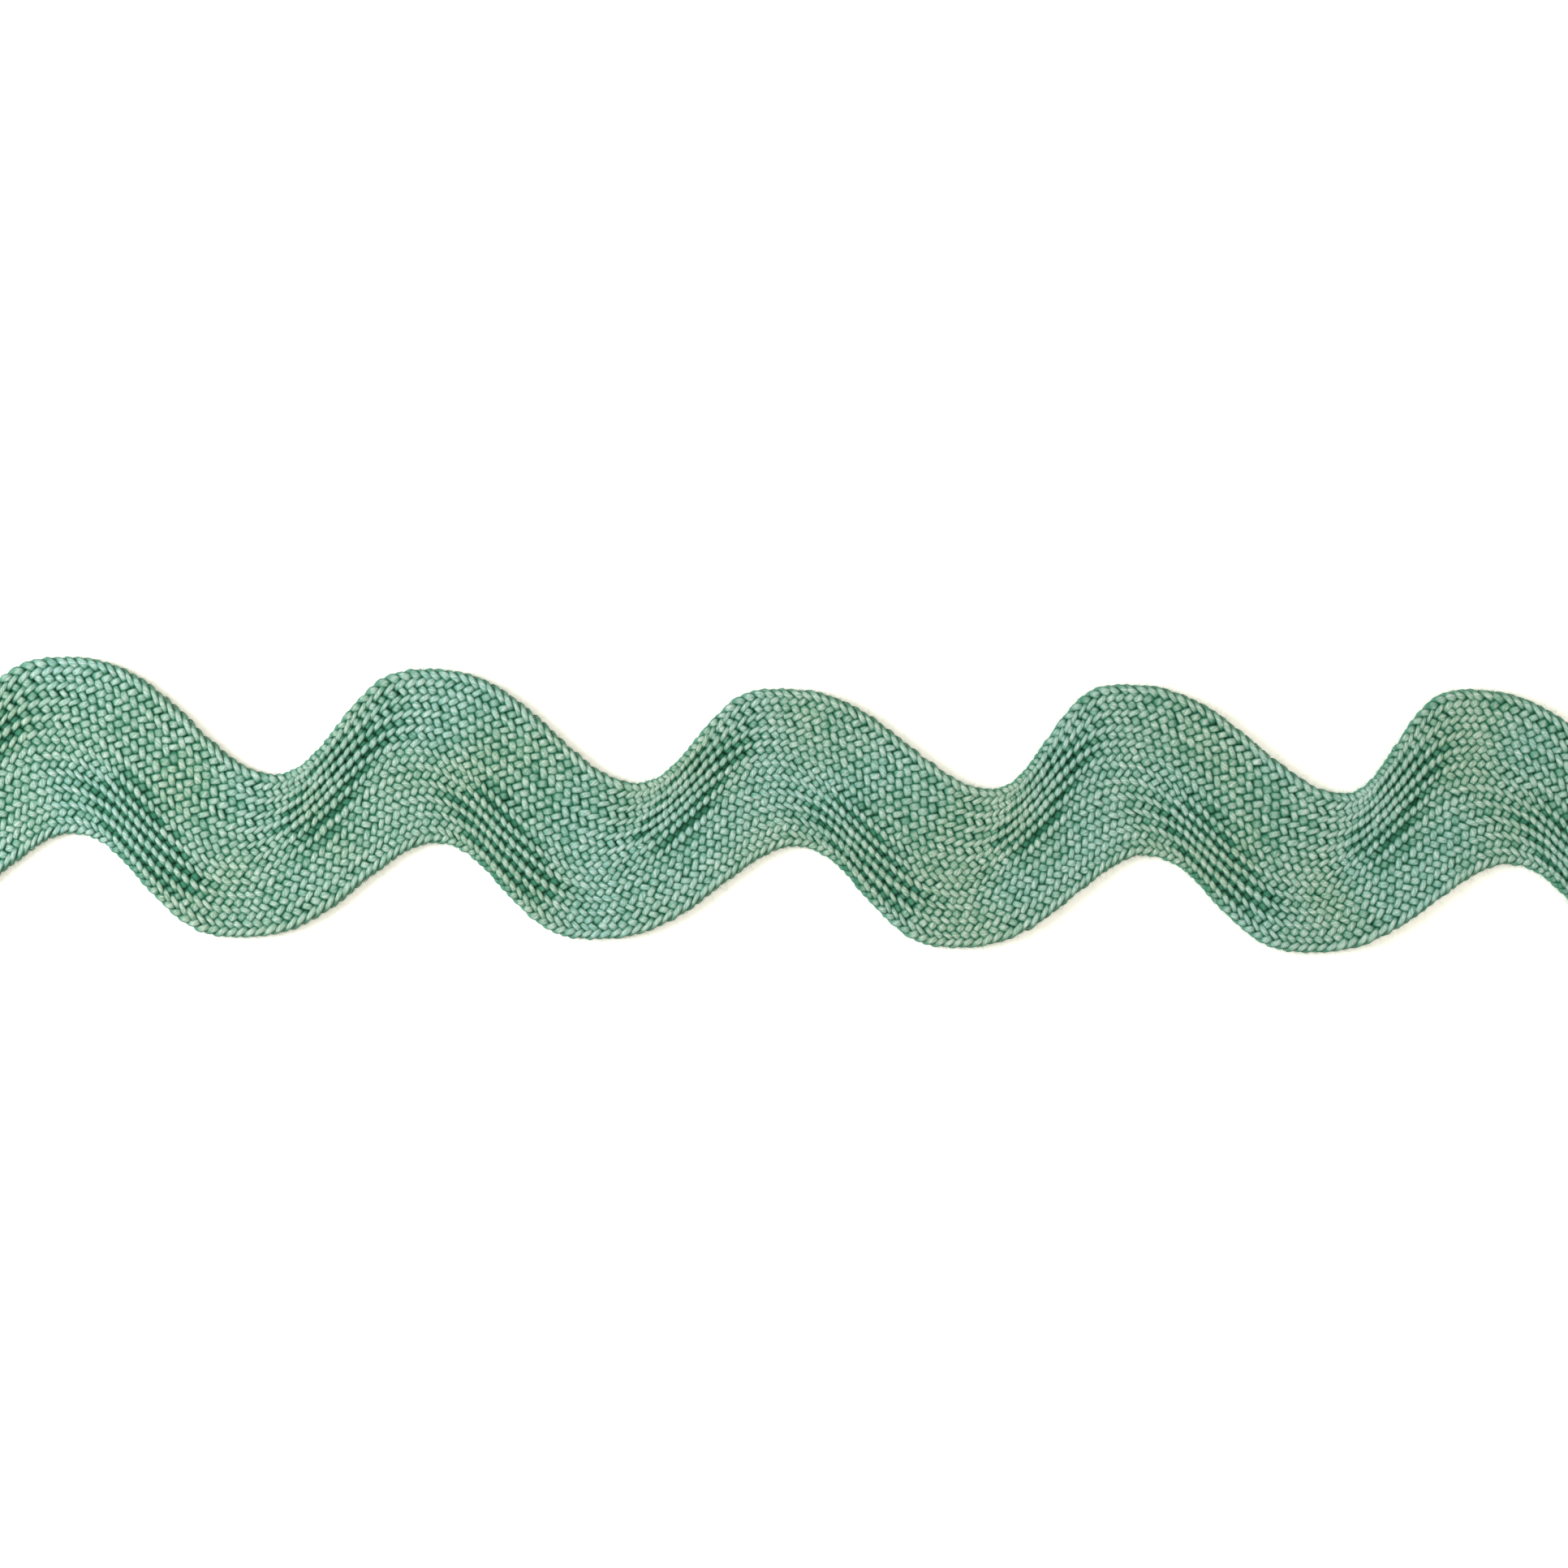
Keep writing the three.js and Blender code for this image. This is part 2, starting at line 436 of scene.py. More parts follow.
@dataclass(frozen=True)
class YarnColourAndShade:
    """Soft matt yarn: lit strands with darker greens painted as shade on their flanks and in the gaps,
    drifting between a bluer and a browner green.
    """

    blue_green: Rgb = (107, 154, 147)
    brown_green: Rgb = (115, 146, 122)
    # Painted shade: the green of the yarns' flanks and the dark green of the gaps between them.
    flank_shade_green: Rgb = (50, 108, 86)
    gap_shade_green: Rgb = (0, 48, 30)
    strand_light: Rgb = (192, 200, 197)
    sheen_tint: Rgb = (226, 240, 230)
    # The painted light level at which a yarn has its flank's painted shade green, between the darkest
    # painted shade of the gaps at 0 and the lit top at 1.
    flank_shade_level: float = 0.5
    # The ranges of the noises over which the patches, the streaks and the fuzz change.
    patch_range: Span = (0.36, 0.64)
    streak_range: Span = (0.38, 0.68)
    fuzz_range: Span = (0.3, 0.7)
    most_streak: float = 0.8
    patch_scale: float = 58.0
    strand_scale: float = 3.4
    strand_detail: float = 3.0
    fuzz_scale: float = 3500.0
    detail: float = 1.0
    # How much the fuzz adds to the relief of the strands.
    fuzz_share: float = 0.3
    bump: float = 0.6
    bump_depth: float = 0.00006
    roughness: Span = (0.76, 0.92)
    sheen: float = 0.08
    sheen_roughness: float = 0.45
    specular: float = 0.12

    def material(self) -> bpy.types.Material:
        """Builds the yarn's material.

        Painted shade: the colour goes from a dark green in the gaps through a flank green to the yarn's own
        colour on top, by the yarn's painted light attribute.
        Streaks run along the twisted strands, and broad patches shift the hue.

        Returns:
            The material.
        """
        g = Graph("sage yarn with painted shade")
        place = g.node("TexCoord").outputs["Object"]
        strand_place = g.attribute("strand").outputs["Vector"]
        strands = g.noise(strand_place, self.strand_scale, self.strand_detail)
        patch = g.spread(g.noise(place, self.patch_scale, self.detail), self.patch_range)
        base = g.mix(patch, colour(*self.blue_green), colour(*self.brown_green))
        streak = g.spread(strands, self.streak_range, (0.0, self.most_streak))
        lit = g.mix(streak, base, colour(*self.strand_light))
        # Painted shade: from the gaps' dark green over the flanks' green to the lit colour on top.
        shade = g.attribute("painted_light").outputs["Fac"]
        to_flank_shade = g.spread(shade, (0.0, self.flank_shade_level))
        side = g.mix(to_flank_shade, colour(*self.gap_shade_green), colour(*self.flank_shade_green))
        tint = g.mix(g.spread(shade, (self.flank_shade_level, 1.0)), side, lit)
        tone = g.attribute("tone").outputs["Fac"]
        toned = g.node("HueSaturation", {"Color": tint, "Value": tone}).outputs["Color"]
        fuzz = g.noise(place, self.fuzz_scale, self.detail)
        relief_parts = {0: fuzz, 1: self.fuzz_share, 2: strands}
        relief = g.node("Math", relief_parts, operation="MULTIPLY_ADD").outputs[0]
        bumps = {"Height": relief, "Strength": self.bump, "Distance": self.bump_depth}
        inputs = {
            "Base Color": toned,
            "Normal": g.node("Bump", bumps).outputs["Normal"],
            "Roughness": g.spread(fuzz, self.fuzz_range, self.roughness),
            "Sheen Weight": self.sheen,
            "Sheen Roughness": self.sheen_roughness,
            "Sheen Tint": colour(*self.sheen_tint),
            "Specular IOR Level": self.specular,
        }
        g.feed(g.shader, inputs)
        return g.material


@dataclass(frozen=True)
class HeartPaintedShade:
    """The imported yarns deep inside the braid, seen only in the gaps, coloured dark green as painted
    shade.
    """

    # Painted shade: the dark greens that the gaps show.
    painted_shade: Rgb = (2, 48, 30)
    lighter_painted_shade: Rgb = (6, 60, 38)
    scale: float = 900.0
    roughness: float = 1.0
    specular: float = 0.0

    def material(self) -> bpy.types.Material:
        """Builds the dark green painted shade, mottled at the size of a yarn."""
        shader = {"Roughness": self.roughness, "Specular IOR Level": self.specular}
        return mottled("heart painted shade", (self.painted_shade, self.lighter_painted_shade), self.scale, shader)


@dataclass(frozen=True)
class HairFinish:
    """Single loose fibres, paler than the yarn."""

    pale: Rgb = (226, 230, 212)
    green: Rgb = (160, 196, 176)
    scale: float = 700.0
    roughness: float = 0.8
    sheen: float = 0.3

    def material(self) -> bpy.types.Material:
        """Builds the pale green of single fibres, which differ from place to place."""
        shader = {"Roughness": self.roughness, "Sheen Weight": self.sheen}
        return mottled("loose fibre", (self.pale, self.green), self.scale, shader)


@dataclass(frozen=True)
class FloorFinish:
    """A plain pale table top with a very faint grain."""

    light: Rgb = (246, 246, 244)
    shade: Rgb = (242, 242, 241)
    scale: float = 900.0
    roughness: float = 0.7
    specular: float = 0.2

    def material(self) -> bpy.types.Material:
        """Builds the pale surface, mottled and slightly rough."""
        shader = {"Roughness": self.roughness, "Specular IOR Level": self.specular}
        return mottled("pale table top", (self.light, self.shade), self.scale, shader)


def unit(vectors: np.ndarray) -> np.ndarray:
    """The vectors at length 1."""
    return vectors / np.linalg.norm(vectors, axis=-1, keepdims=True)


@dataclass
class Tubes:
    """Tubes with closed ends: rings of points carried along paths, all with the same counts."""

    rings: np.ndarray

    def faces(self) -> tuple[np.ndarray, np.ndarray]:
        """The tubes' four-sided faces, ring to ring, and their end caps.

        Returns:
            The corners of the sides, four in a row, and those of the caps, one cap in a row.
        """
        tubes, along, around, _ = self.rings.shape
        index = np.arange(tubes * along * around).reshape(tubes, along, around)
        here, ahead = index[:, :-1], index[:, 1:]
        corners = [here, np.roll(here, -1, axis=2), np.roll(ahead, -1, axis=2), ahead]
        sides = np.stack(corners, axis=-1).reshape(-1, 4)
        caps = np.concatenate([index[:, 0, ::-1], index[:, -1]])
        return sides, caps

    def strips(self, parts: int, gap: float = 0.06) -> np.ndarray:
        """A flat map for the tubes: each is unrolled, cut into parts, and laid as strips one over
        another, with a small gap between two strips.

        Args:
            parts: how many strips a tube makes.
            gap: the gap as a share of a strip's height.

        Returns:
            The map's coordinates for every corner of the sides and then of the caps.
        """
        tubes, along, around, _ = self.rings.shape
        strip_length = math.ceil((along - 1) / parts)
        step = np.arange(along - 1)
        tube = np.arange(tubes)[:, None, None, None]
        strip = tube * parts + (step // strip_length)[None, :, None, None]
        at = (step % strip_length)[None, :, None, None] + np.array([0, 0, 1, 1])
        turn = np.arange(around)[None, None, :, None] + np.array([0, 1, 1, 0])
        u = np.broadcast_to(at / strip_length, (tubes, along - 1, around, 4))
        height = gap + (1 - 2 * gap) * turn / around
        v = np.broadcast_to((strip + height) / (tubes * parts), u.shape)
        sides = np.stack([u, v], axis=-1).reshape(-1, 2)
        rim = 2 * np.pi * np.arange(around) / around
        spot = gap / 3 * np.stack([np.cos(rim), np.sin(rim)], axis=-1) / (tubes * parts)
        rows = np.arange(2 * tubes)[:, None] * parts / 2
        centre = np.stack([np.full_like(rows, 0.5), (rows + gap / 2) / (tubes * parts)], axis=-1)
        caps = (centre + spot[None]).reshape(-1, 2)
        return np.clip(np.concatenate([sides, caps]), 0, 1)


def make_object(name: str, points: np.ndarray, polygons: list[np.ndarray]) -> bpy.types.Object:
    """A smooth-shaded mesh object, its faces given as tables of corners.

    Args:
        name: the object's name.
        points: its vertices.
        polygons: tables of faces, where all the faces of a table have as many corners.

    Returns:
        The object, linked to the scene.
    """
    mesh = bpy.data.meshes.new(name)
    corners = np.concatenate([table.ravel() for table in polygons]).astype(np.int32)
    totals = np.concatenate([np.full(len(table), table.shape[1]) for table in polygons])
    starts = np.concatenate([[0], np.cumsum(totals)[:-1]])
    mesh.vertices.add(len(points))
    mesh.vertices.foreach_set("co", points.astype(np.float32).ravel())
    mesh.loops.add(len(corners))
    mesh.loops.foreach_set("vertex_index", corners)
    mesh.polygons.add(len(totals))
    mesh.polygons.foreach_set("loop_start", starts.astype(np.int32))
    mesh.update(calc_edges=True)
    mesh.polygons.foreach_set("use_smooth", np.ones(len(totals), dtype=bool))
    mesh.validate()
    made = bpy.data.objects.new(name, mesh)
    bpy.context.scene.collection.objects.link(made)
    return made


def give_attribute(made: bpy.types.Object, name: str, values: np.ndarray) -> None:
    """Stores numbers, or vectors if there are three columns, on an object's vertices.

    Args:
        made: the object.
        name: the attribute's name.
        values: a number or a vector for each vertex.
    """
    kind, key = ("FLOAT", "value") if values.ndim == 1 else ("FLOAT_VECTOR", "vector")
    attribute = made.data.attributes.new(name, kind, "POINT")
    attribute.data.foreach_set(key, values.astype(np.float32).ravel())


@dataclass(frozen=True)
class YarnPaths:
    """The middle lines of all the yarns seen from above, as arrays with a row for each yarn."""

    steps: np.ndarray
    rows: np.ndarray
    columns: np.ndarray
    rungs: np.ndarray
    # Whether the yarn is on its way from the lower to the upper edge.
    rises: np.ndarray


@dataclass
class BraidYarns:
    """The interlaced yarns, with their floats, their dives at the crossings and their turns."""

    plan: BraidPlan
    count: int = 45
    # Natural half sizes of a yarn's section, in millimetres, and how much wider it bulges in the cords.
    half_width: float = 0.57
    half_height: float = 0.36
    cord_widening: float = 0.2
    # Half width for each millimetre of the spacing between two yarns, and its limits.
    room_taken: float = 0.68
    least_half_width: float = 0.37
    most_half_width: float = 0.58
    # Share of a wide spacing that a half width takes even past that limit, so that no hole opens.
    gap_closing: float = 0.55
    least_half_height: float = 0.3
    most_half_height: float = 0.42
    # How much flatter a section is where the yarn passes through the middle layer.
    flattening: float = 0.1
    # The middle layer's height, and how far a float's middle stands over it, in millimetres.
    middle: float = 0.92
    float_rise: float = 0.55
    # In the cords: how much higher the yarns along the slope stand, how much lower the others lie,
    # and how far the middle layer rises.
    cord_gain: float = 0.15
    sunk_loss: float = 0.6
    cord_lift: float = 0.15
    # How much rounder a float bulges in the cords.
    cord_bulge: float = 1.35
    clearance: float = 0.01
    # Unevenness of the height and sideways, in millimetres, and of the thickness and the tone.
    uneven_height: float = 0.05
    uneven_sideways: float = 0.075
    uneven_thickness: float = 0.12
    uneven_tone: float = 0.025
    uneven_lengths: tuple[float, ...] = (3.1, 5.3, 9.7, 23.0)
    samples_per_row: float = 5.4
    # Points at which a yarn's ends are looked for, and how many steps past the braid that starts.
    search_points: int = 20001
    spare_steps: float = 4.0
    sides: int = 8
    # How boxy a section is: 2 is an ellipse. How blunt a float's ends are: 1 is a plain sine.
    boxiness: float = 2.8
    bluntness: float = 0.55
    yarns_per_piece: int = 9
    strips_per_yarn: int = 4
    # Length of a twist in millimetres, how fast the streaks change along it, and how far apart two
    # yarns' streaks lie.
    twist_length: float = 4.2
    streak_change: float = 0.22
    streak_shift: float = 13.7
    # Painted shade: millimetres from the middle layer at which a yarn's painted shade starts to lift, and
    # over which it lifts fully.
    lit_from: float = 0.4
    lit_over: float = 0.48
    # Painted shade: the least painted light level of a flank as a share of the top's, and that of an edge
    # turn and of a cut end.
    flank_shade: float = 0.3
    edge_shade: float = 0.62
    cut_shade: float = 0.6
    seed: int = 7

    def paths(self) -> YarnPaths:
        """The middle lines of all the yarns.

        A yarn goes half a row ahead and half a column across with each step, and it crosses another
        one at each step. It is followed from the rung of one cut to the rung of the other.

        Returns:
            The lines, with as many samples for every yarn.
        """
        first, last = self.plan.cut_rows()
        start = 2 * first - self.spare_steps
        end = 2 * (last + self.plan.lag) + self.spare_steps
        fine = np.linspace(start, end, self.search_points)
        yarn = np.arange(self.count)[:, None]
        columns, _ = self.columns_at(fine[None], yarn)
        rungs = self.plan.rungs(fine / 2, columns)
        starts = np.array([np.interp(first, line, fine) for line in rungs])[:, None]
        ends = np.array([np.interp(last, line, fine) for line in rungs])[:, None]
        samples = int(round((last - first) * self.samples_per_row)) + 1
        steps = starts + (ends - starts) * np.linspace(0, 1, samples)
        columns, rises = self.columns_at(steps, yarn)
        rows = steps / 2
        return YarnPaths(steps, rows, columns, self.plan.rungs(rows, columns), rises)

    def columns_at(self, steps: np.ndarray, yarn: np.ndarray) -> tuple[np.ndarray, np.ndarray]:
        """Where across the braid the yarns are. A yarn's column is half the difference of its
        distances from its last and from its next turn, rounded off at the turns.

        Args:
            steps: how far along the yarns are.
            yarn: the yarns' numbers.

        Returns:
            The columns, and whether the yarns are on their way up.
        """
        cycle = 2 * self.count
        phase = (steps - 2 * yarn) % cycle
        from_lower = np.minimum(phase, cycle - phase)
        swing = (np.hypot(from_lower, 1) - np.hypot(self.count - from_lower, 1)) / 2
        column = (self.plan.columns + swing) / 2
        return np.clip(column, 0, self.plan.columns), phase < self.count

    def wander(self, steps: np.ndarray, draws: np.random.Generator, reach: float) -> np.ndarray:
        """A small smooth unevenness along each yarn: a sum of sines of unlike lengths and phases.

        Args:
            steps: how far along the yarns are.
            draws: the source of the random phases.
            reach: about how far it goes either way.

        Returns:
            The unevenness, of the steps' shape.
        """
        total = np.zeros_like(steps)
        for wavelength in self.uneven_lengths:
            phase = draws.uniform(0, 2 * np.pi, (len(steps), 1))
            total += np.sin(2 * np.pi * steps / wavelength + phase)
        return total * reach / 2

    def rings(self) -> tuple[np.ndarray, dict[str, np.ndarray]]:
        """The rings of points around all the yarns.

        A yarn stands over the middle layer by the sine of its column, made blunter on the flat parts
        and rounder in the cords, where the yarns along the slope stand high and the others lie low.

        Returns:
            The rings' points, and the arrays of the attributes in the same order.
        """
        draws = np.random.default_rng(self.seed)
        path = self.paths()
        falls, cording = self.plan.cording(path.rungs, path.columns)
        along_slope = path.rises != falls
        corded = cording * along_slope
        over = np.where(path.rises, 1.0, -1.0) * np.sin(np.pi * path.columns)
        over = np.sign(over) * np.abs(over) ** (self.bluntness + self.cord_bulge * corded)
        rise = self.float_rise * (1 + np.where(along_slope, self.cord_gain, -self.sunk_loss) * cording)
        middle = self.middle + self.cord_lift * cording
        height = middle + rise * over + self.wander(path.steps, draws, self.uneven_height)

        flat = self.plan.place(path.rows, path.columns)
        ahead = unit(np.gradient(flat, axis=1))
        across = np.stack([-ahead[..., 1], ahead[..., 0]], axis=-1)
        swerve = self.wander(path.steps, draws, self.uneven_sideways) * MM
        spine = np.concatenate([flat + across * swerve[..., None], height[..., None] * MM], axis=-1)

        plump = 1 + self.wander(path.steps, draws, self.uneven_thickness)
        half_width = self.widths(path, across) * plump
        half_width *= 1 + self.cord_widening * corded * np.clip(over, 0, 1)
        natural = self.half_width * self.half_height / half_width
        half_height = np.clip(natural, self.least_half_height, self.most_half_height)
        half_height *= 1 - self.flattening + self.flattening * np.abs(over)

        rings = self.wrap(spine, half_width, half_height)
        attributes = {
            "strand": self.strands(spine),
            # Painted shade: a level for each point, low in the gaps and on the flanks, high on the tops.
            "painted_light": self.painted_light_levels(rings, middle, path.columns),
        }
        tone = draws.normal(1.0, self.uneven_tone, (self.count, 1, 1))
        attributes["tone"] = np.broadcast_to(tone, rings.shape[:3])
        return rings, attributes

    def widths(self, path: YarnPaths, across: np.ndarray) -> np.ndarray:
        """Half widths that suit the room between a yarn and the next one of its own direction.

        Args:
            path: the yarns' middle lines.
            across: the flat directions across them.

        Returns:
            The half widths in millimetres.
        """
        next_yarn = self.plan.place(path.rows + 0.5, path.columns)
        last_yarn = self.plan.place(path.rows - 0.5, path.columns)
        spacing = np.abs(np.sum((next_yarn - last_yarn) * across, axis=-1)) / MM
        most = np.maximum(self.most_half_width, spacing * self.gap_closing)
        return np.clip(spacing * self.room_taken, self.least_half_width, most)

    def section(self) -> tuple[np.ndarray, np.ndarray, np.ndarray]:
        """A section's outline, a rounded box.

        Returns:
            The points' angles, their shares of the half width and those of the half height.
        """
        angle = 2 * np.pi * (np.arange(self.sides) + 0.5) / self.sides
        circle = np.stack([np.cos(angle), np.sin(angle)])
        wide, tall = np.sign(circle) * np.abs(circle) ** (2 / self.boxiness)
        return angle, wide, tall

    def wrap(self, spine: np.ndarray, half_width: np.ndarray, half_height: np.ndarray) -> np.ndarray:
        """Carries the section along the yarns, and keeps it off the floor.

        Args:
            spine: the middle lines in space.
            half_width: the half widths along them, in millimetres.
            half_height: the half heights.

        Returns:
            The rings' points.
        """
        _, wide, tall = self.section()
        tangent = unit(np.gradient(spine, axis=1))
        up = unit(np.array([0.0, 0.0, 1.0]) - tangent[..., 2:] * tangent)
        side = np.cross(up, tangent)
        sideways = side[:, :, None] * (half_width[:, :, None] * wide)[..., None]
        upwards = up[:, :, None] * (half_height[:, :, None] * tall)[..., None]
        rings = spine[:, :, None] + (sideways + upwards) * MM
        rings[..., 2] = np.maximum(rings[..., 2], self.clearance * MM)
        return rings

    def strands(self, spine: np.ndarray) -> np.ndarray:
        """Places on the twisted strands: a point on a circle that turns with the length along the
        yarn, and that length itself.

        Args:
            spine: the middle lines in space.

        Returns:
            A vector for each point of the rings.
        """
        lengths = np.cumsum(np.linalg.norm(np.diff(spine, axis=1), axis=-1), axis=1)
        run = np.concatenate([np.zeros((self.count, 1)), lengths], axis=1)[..., None] / MM
        angle, _, _ = self.section()
        turned = angle + 2 * np.pi * run / self.twist_length
        shift = np.arange(self.count)[:, None, None] * self.streak_shift
        along = np.broadcast_to(run * self.streak_change + shift, turned.shape)
        return np.stack([np.cos(turned), np.sin(turned), along], axis=-1)

    def painted_light_levels(self, rings: np.ndarray, middle: np.ndarray, columns: np.ndarray) -> np.ndarray:
        """Painted light levels of the points, from 0, the darkest painted shade in the gaps, to 1, no
        painted shade on top of a float.

        The level grows with the height over or under the middle layer and from a section's flanks to its
        top, so deep parts and flanks get painted shade. The edge turns and the cut ends lie open, so they
        get less painted shade.

        Args:
            rings: the rings' points.
            middle: the middle layer's heights, in millimetres.
            columns: the yarns' columns.

        Returns:
            A number for each point of the rings.
        """
        _, _, tall = self.section()
        out = np.abs(rings[..., 2] / MM - middle[..., None])
        shading = self.flank_shade + (1 - self.flank_shade) * np.abs(tall)
        # Painted shade: darker where a point lies near the middle layer or on a section's flank.
        painted_light = np.clip((out - self.lit_from) / self.lit_over, 0, 1) * shading
        edge = 1 - np.clip(np.minimum(columns, self.plan.columns - columns), 0, 1)
        painted_light = np.maximum(painted_light, edge[..., None] * self.edge_shade)
        painted_light[:, [0, -1]] = np.maximum(painted_light[:, [0, -1]], self.cut_shade)
        return painted_light

    def build(self) -> list[bpy.types.Object]:
        """Makes the yarns, several in a piece.

        Returns:
            The pieces.
        """
        rings, attributes = self.rings()
        pieces = []
        for number, first in enumerate(range(0, self.count, self.yarns_per_piece), start=1):
            part = slice(first, first + self.yarns_per_piece)
            tubes = Tubes(rings[part])
            sides, caps = tubes.faces()
            made = make_object(f"yarns_{number}", rings[part].reshape(-1, 3), [sides, caps])
            for name, values in attributes.items():
                shape = (-1, 3) if values.ndim == 4 else (-1,)
                give_attribute(made, name, values[part].reshape(shape))
            layer = made.data.uv_layers.new(name="OFBake")
            layer.data.foreach_set("uv", tubes.strips(self.strips_per_yarn).astype(np.float32).ravel())
            pieces.append(made)
            LOG.info("%s: %d triangles", made.name, 2 * len(sides) + len(caps) * (self.sides - 2))
        return pieces

    def dress(self, pieces: list[bpy.types.Object], finish: YarnColourAndShade) -> None:
        """Gives every piece of yarn its material and its place in the part.

        Args:
            pieces: the pieces of yarn.
            finish: the yarn's colours with their painted shade.
        """
        material = finish.material()
        for piece in pieces:
            piece.data.materials.append(material)
            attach(piece, BODY)


@dataclass
class BraidHeart:
    """The closed thin layer between the floats of the two faces, which closes the gaps from behind."""

    plan: BraidPlan
    low: float = 0.72
    high: float = 1.0
    # How far the layer rises in the cords, in millimetres, as the yarns do.
    cord_lift: float = 0.15
    inset_columns: float = 0.3
    rows_per_section: float = 1.0
    points_across: int = 31
    outline_points: int = 2001

    def build(self) -> bpy.types.Object:
        """Makes the layer: a flat band from edge to edge, once at each height, joined all round.

        Returns:
            The layer as one closed mesh.
        """
        first, last = self.plan.cut_rows()
        sections = int(round((last - first) / self.rows_per_section)) + 1
        rung = np.linspace(first, last, sections)[:, None]
        across = np.linspace(self.inset_columns, self.plan.columns - self.inset_columns, self.points_across)
        columns = np.broadcast_to(across, (sections, self.points_across))
        flat = self.plan.place(rung + self.plan.lag_at(columns), columns)
        _, cording = self.plan.cording(np.broadcast_to(rung, columns.shape), columns)
        lift = self.cord_lift * cording
        under = np.concatenate([flat, ((self.low + lift) * MM)[..., None]], axis=-1)[:, ::-1]
        over = np.concatenate([flat, ((self.high + lift) * MM)[..., None]], axis=-1)
        ring = np.concatenate([over, under], axis=1)[:, ::-1]
        sides, caps = Tubes(ring[None]).faces()
        return make_object("braid_heart", ring.reshape(-1, 3), [sides, caps])

    def dress(self, piece: bpy.types.Object, finish: HeartPaintedShade, others: list[bpy.types.Object]) -> None:
        """Gives the layer its material and its place in the part, hides the braid's own part, and works out
        the braid's flat area.

        Args:
            piece: the layer.
            finish: the layer's painted shade colours.
            others: not used.
        """
        # Painted shade: the layer's dark green makes the gaps between the yarns look shaded.
        piece.data.materials.append(finish.material())
        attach(piece, BODY)
        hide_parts(NODE)
        self.area()

    def area(self) -> float:
        """The flat area of the braid between its edges and its cuts.

        Returns:
            The area in square metres.
        """
        first, last = self.plan.cut_rows()
        rung = np.linspace(first, last, self.outline_points)
        outline = np.concatenate([self.plan.upper.at_rows(rung), self.plan.lower.at_rows(rung)[::-1]])
        x, y = outline.T
        return float(abs(np.sum(x * np.roll(y, -1) - y * np.roll(x, -1))) / 2)


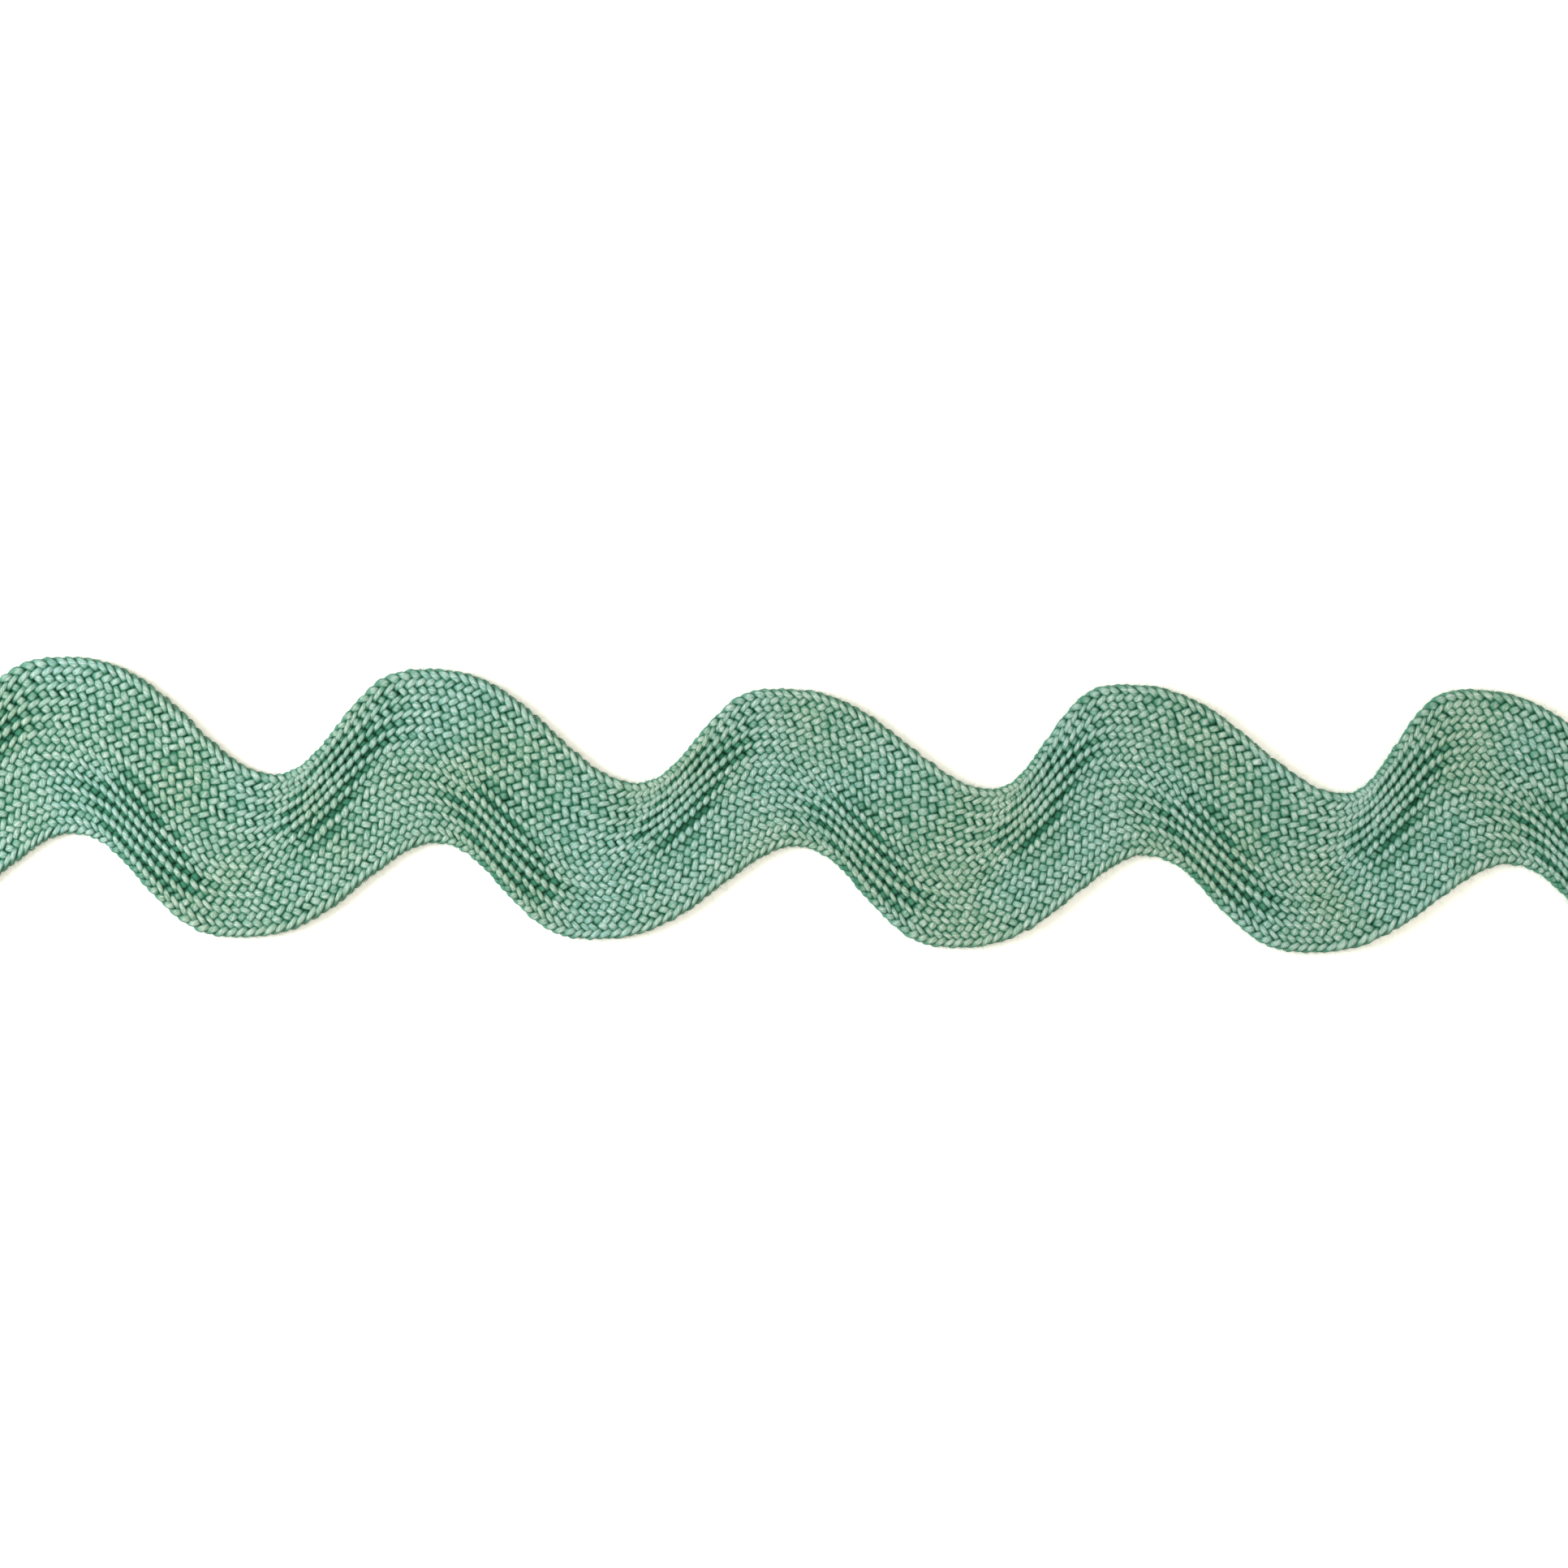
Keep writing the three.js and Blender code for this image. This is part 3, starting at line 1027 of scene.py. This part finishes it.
@dataclass
class EdgeHairs:
    """Loose fibres that stand out along the two edges and at the cuts."""

    plan: BraidPlan
    edge_count: int = 4200
    cut_count: int = 300
    radius: float = 0.026
    # How much thinner the tip is.
    taper: float = 0.75
    shortest: float = 0.2
    longest: float = 1.1
    # How much rarer the long ones are: 1 makes all lengths equally frequent.
    rarity: float = 1.3
    # Spread along X, Y and Z of the fibres' directions and of their curls.
    swerve: Triple = (0.56, 0.56, 0.252)
    curl: Triple = (0.5, 0.5, 0.2)
    clearance: float = 0.03
    # Heights between which the fibres start, in millimetres.
    root_heights: Span = (0.25, 1.45)
    # Rows to either side from which an edge's direction is taken.
    probe: float = 0.2
    # A direction that no fibre takes, from which the directions across them are worked out.
    askew: Triple = (0.13, 0.21, 1.0)
    rings_each: int = 3
    sides: int = 3
    seed: int = 21

    def build(self) -> bpy.types.Object:
        """Makes the fibres: thin tapered tubes that leave the braid outwards and curl.

        Returns:
            All the fibres as one mesh.
        """
        draws = np.random.default_rng(self.seed)
        roots, outward = self.roots(draws)
        count = len(roots)
        length = draws.uniform(self.shortest, self.longest, count) ** self.rarity
        direction = unit(outward + draws.normal(size=(count, 3)) * self.swerve)
        curl = draws.normal(size=(count, 3)) * self.curl
        part = np.linspace(0, 1, self.rings_each)
        reach = (length[:, None] * part)[..., None] * MM
        path = roots[:, None] + direction[:, None] * reach + curl[:, None] * reach * part[None, :, None]
        path[..., 2] = np.maximum(path[..., 2], self.clearance * MM)
        tangent = unit(np.gradient(path, axis=1))
        side = unit(np.cross(tangent, np.array(self.askew)))
        up = np.cross(side, tangent)
        angle = 2 * np.pi * np.arange(self.sides) / self.sides
        radius = (self.radius * (1 - self.taper * part) * MM)[None, :, None, None]
        offset = side[:, :, None] * np.cos(angle)[:, None] + up[:, :, None] * np.sin(angle)[:, None]
        rings = path[:, :, None] + offset * radius
        sides, caps = Tubes(rings).faces()
        made = make_object("edge_hairs", rings.reshape(-1, 3), [sides, caps])
        LOG.info("%s: %d triangles", made.name, 2 * len(sides) + len(caps))
        return made

    def roots(self, draws: np.random.Generator) -> tuple[np.ndarray, np.ndarray]:
        """Where the fibres start, and which way is out of the braid there.

        Args:
            draws: the source of the random draws.

        Returns:
            The starting points and the outward directions, flat on the surface.
        """
        first, last = self.plan.cut_rows()
        rung = draws.uniform(first, last, self.edge_count)
        top = draws.random(self.edge_count) < 0.5
        column = np.where(top, self.plan.columns, 0.0)
        at = self.plan.place(rung, column)
        inner = self.plan.place(rung, np.where(top, self.plan.columns - 1.0, 1.0))
        step = self.plan.place(rung + self.probe, column) - self.plan.place(rung - self.probe, column)
        normal = unit(np.stack([-step[:, 1], step[:, 0]], axis=-1))
        normal *= np.sign(np.sum(normal * (at - inner), axis=-1))[:, None]

        end = draws.random(self.cut_count) < 0.5
        columns = draws.uniform(0, self.plan.columns, self.cut_count)
        cut = np.where(end, last, first) + self.plan.lag_at(columns)
        cut_at = self.plan.place(cut, columns)
        cut_out = np.stack([np.where(end, 1.0, -1.0), np.zeros(self.cut_count)], axis=-1)

        flat = np.concatenate([at, cut_at])
        outward = np.concatenate([normal, cut_out])
        height = draws.uniform(*self.root_heights, len(flat)) * MM
        roots = np.concatenate([flat, height[:, None]], axis=-1)
        return roots, np.concatenate([outward, np.zeros((len(flat), 1))], axis=-1)

    def dress(self, piece: bpy.types.Object, finish: HairFinish) -> None:
        """Gives the fibres their material and their place in the part.

        Args:
            piece: the fibres.
            finish: their finish.
        """
        piece.data.materials.append(finish.material())
        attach(piece, BODY)


@dataclass(frozen=True)
class Lamp:
    """A square light, in metres and watts, that faces the middle of the braid."""

    name: str
    at: Triple
    size: float
    watts: float
    tint: Triple

    def build(self) -> None:
        """Adds the light, which itself stays out of the picture."""
        lamp = bpy.data.lights.new(self.name, "AREA")
        lamp.size = self.size
        lamp.energy = self.watts
        lamp.color = self.tint
        made = bpy.data.objects.new(self.name, lamp)
        made.location = self.at
        made.visible_camera = False
        x, y, z = (-value for value in self.at)
        flat = math.hypot(x, y)
        made.rotation_euler = (math.atan2(flat, -z), 0.0, math.atan2(y, x) - math.pi / 2)
        bpy.context.scene.collection.objects.link(made)


# A cool soft light on the left, a warm one overhead, and a small warm one at each end of the frame.
LAMPS = (
    Lamp("window", (-0.56, 0.04, 0.34), size=0.29, watts=4.25, tint=(0.84, 0.95, 1.0)),
    Lamp("overhead", (0.0, 0.03, 0.90), size=0.40, watts=3.9, tint=(1.0, 0.965, 0.86)),
    Lamp("left_fill", (-0.19, 0.02, 0.13), size=0.10, watts=0.085, tint=(1.0, 0.94, 0.86)),
    Lamp("right_fill", (0.20, 0.02, 0.13), size=0.10, watts=0.04, tint=(1.0, 0.96, 0.88)),
)


@dataclass
class Studio:
    """The pale table top, the soft lights, the warm room and the camera straight above."""

    floor_size: float = 4.0
    room_tint: Triple = (1.0, 0.955, 0.82)
    room_strength: float = 0.62
    # The camera's turn about the vertical, and the place that it looks straight down on.
    turn_degrees: float = 1.25
    aim_x: float = -0.07
    aim_y: float = 3.63
    frame_width: float = 212.5
    lens: float = 85.0
    sensor: float = 36.0
    nearest: float = 0.01

    def build(self) -> None:
        """Sets up the floor, the lights, the surroundings and the camera."""
        self.add_floor()
        for lamp in LAMPS:
            lamp.build()
        self.add_room()
        self.add_camera()

    def add_floor(self) -> None:
        """Lays the table top just under the braid."""
        half = self.floor_size / 2
        corners = np.array([[-half, -half, 0], [half, -half, 0], [half, half, 0], [-half, half, 0]])
        floor = make_object("floor", corners, [np.array([[0, 1, 2, 3]])])
        floor.data.materials.append(FloorFinish().material())

    def add_room(self) -> None:
        """Surrounds the scene with a weak warm light, and shows colours as they are."""
        world = bpy.data.worlds.new("warm room")
        world.use_nodes = True
        background = world.node_tree.nodes["Background"]
        background.inputs["Color"].default_value = (*self.room_tint, 1.0)
        background.inputs["Strength"].default_value = self.room_strength
        bpy.context.scene.world = world
        bpy.context.scene.view_settings.view_transform = "Standard"

    def add_camera(self) -> None:
        """Places the camera straight above, as far off as its lens needs for the frame's width."""
        lens = bpy.data.cameras.new("camera")
        lens.lens = self.lens
        lens.sensor_width = self.sensor
        lens.clip_start = self.nearest
        camera = bpy.data.objects.new("camera", lens)
        distance = self.frame_width * MM * self.lens / self.sensor
        camera.location = (self.aim_x * MM, self.aim_y * MM, distance)
        camera.rotation_euler = (0.0, 0.0, math.radians(self.turn_degrees))
        bpy.context.scene.collection.objects.link(camera)
        bpy.context.scene.camera = camera


def main() -> None:
    """Builds the studio and the braid, piece by piece."""
    logging.basicConfig(level=logging.INFO, format="%(name)s: %(message)s")
    Studio().build()
    plan = BraidPlan()
    yarns = BraidYarns(plan)
    pieces = yarns.build()
    yarns.dress(pieces, YarnColourAndShade())
    hairs = EdgeHairs(plan)
    fuzz = hairs.build()
    hairs.dress(fuzz, HairFinish())
    heart = BraidHeart(plan)
    layer = heart.build()
    heart.dress(layer, HeartPaintedShade(), [*pieces, fuzz])


if __name__ == "__main__":
    main()
